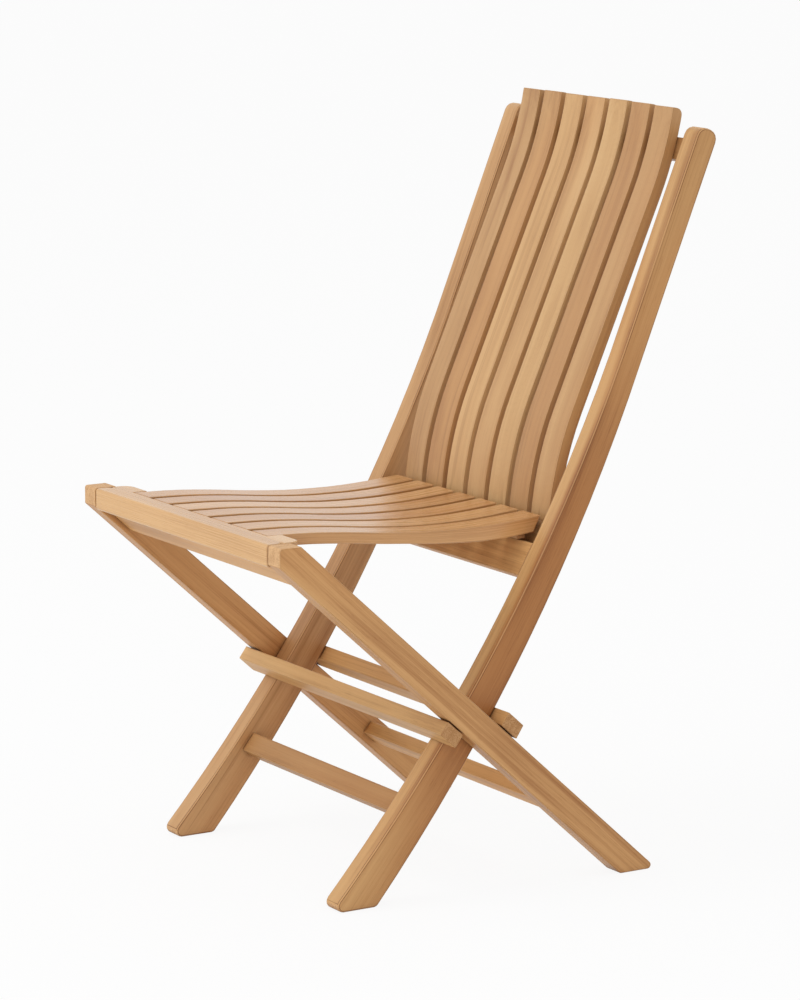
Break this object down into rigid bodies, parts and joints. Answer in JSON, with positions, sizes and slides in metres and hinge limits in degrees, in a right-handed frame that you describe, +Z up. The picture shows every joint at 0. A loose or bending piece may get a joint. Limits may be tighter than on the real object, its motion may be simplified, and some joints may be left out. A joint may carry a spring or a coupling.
{
  "type": "folding chair",
  "caption": "Folding garden chair in teak with a dished slatted seat and a curved slatted back, crossing legs and no arms; it folds flat.",
  "frame": {"origin": "on the floor, under the middle of the open chair", "axes": "+Z up, the chair faces -Y, its right side as seen from the front is at +X"},
  "size_m": [0.46, 0.6016, 0.8888],
  "materials": {
    "teak_slat": "oiled teak, orange-tan, fine straight grain, satin",
    "teak_seat": "sanded teak, pale pinkish tan where light has washed it, fine straight grain",
    "teak_frame": "oiled teak, mid brown with darker streaks, eased edges",
    "teak_rail": "oiled teak, tan brown, rough paler end grain",
    "steel": "stainless steel, dull"
  },
  "bodies": {
    "back_frame": {"stile_left": "teak_frame", "stile_right": "teak_frame", "back_slat_1": "teak_slat", "back_slat_2": "teak_slat", "back_slat_3": "teak_slat", "back_slat_4": "teak_slat", "back_slat_5": "teak_slat", "back_slat_6": "teak_slat", "back_slat_7": "teak_slat", "back_top_rail": "teak_rail", "back_lower_rail": "teak_rail", "seat_support_rail": "teak_rail", "front_foot_stretcher": "teak_rail", "crossing_rail_front": "teak_rail", "crossing_rail_rear": "teak_rail", "crossing_dowel_front_left": "teak_rail", "crossing_dowel_front_right": "teak_rail", "crossing_dowel_rear_left": "teak_rail", "crossing_dowel_rear_right": "teak_rail", "crossing_pin_left": "steel", "crossing_pin_right": "steel", "crossing_washer_left": "steel", "crossing_washer_right": "steel", "back_slat_screw_1": "steel", "back_slat_screw_2": "steel", "back_slat_screw_3": "steel", "back_slat_screw_4": "steel", "back_slat_screw_5": "steel", "back_slat_screw_6": "steel", "back_slat_screw_7": "steel"},
    "leg_frame": {"leg_left": "teak_frame", "leg_right": "teak_frame", "leg_apron": "teak_rail", "rear_foot_stretcher": "teak_rail"},
    "seat": {"seat_front_rail": "teak_seat", "seat_slat_1": "teak_seat", "seat_slat_2": "teak_seat", "seat_slat_3": "teak_seat", "seat_slat_4": "teak_seat", "seat_slat_5": "teak_seat", "seat_slat_6": "teak_seat", "seat_slat_7": "teak_seat", "seat_rear_batten": "teak_rail", "seat_hinge_pin_left": "steel", "seat_hinge_pin_right": "steel", "seat_hinge_washer_left": "steel", "seat_hinge_washer_right": "steel", "seat_slat_screw_1": "steel", "seat_slat_screw_2": "steel", "seat_slat_screw_3": "steel", "seat_slat_screw_4": "steel", "seat_slat_screw_5": "steel", "seat_slat_screw_6": "steel", "seat_slat_screw_7": "steel"}
  },
  "joints": [
    {"name": "fold", "type": "hinge", "parent": "back_frame", "child": "leg_frame", "pos_m": [0, -0.03374, 0.1965], "axis": [-1, 0, 0], "range_deg": [0, 72]},
    {"name": "seat_swing", "type": "hinge", "parent": "leg_frame", "child": "seat", "pos_m": [0, -0.28731, 0.42075], "axis": [1, 0, 0], "range_deg": [0, 150]}
  ],
  "couplings": [
    {"joint": "seat_swing", "follows": "fold", "ratio": 2.08}
  ]
}
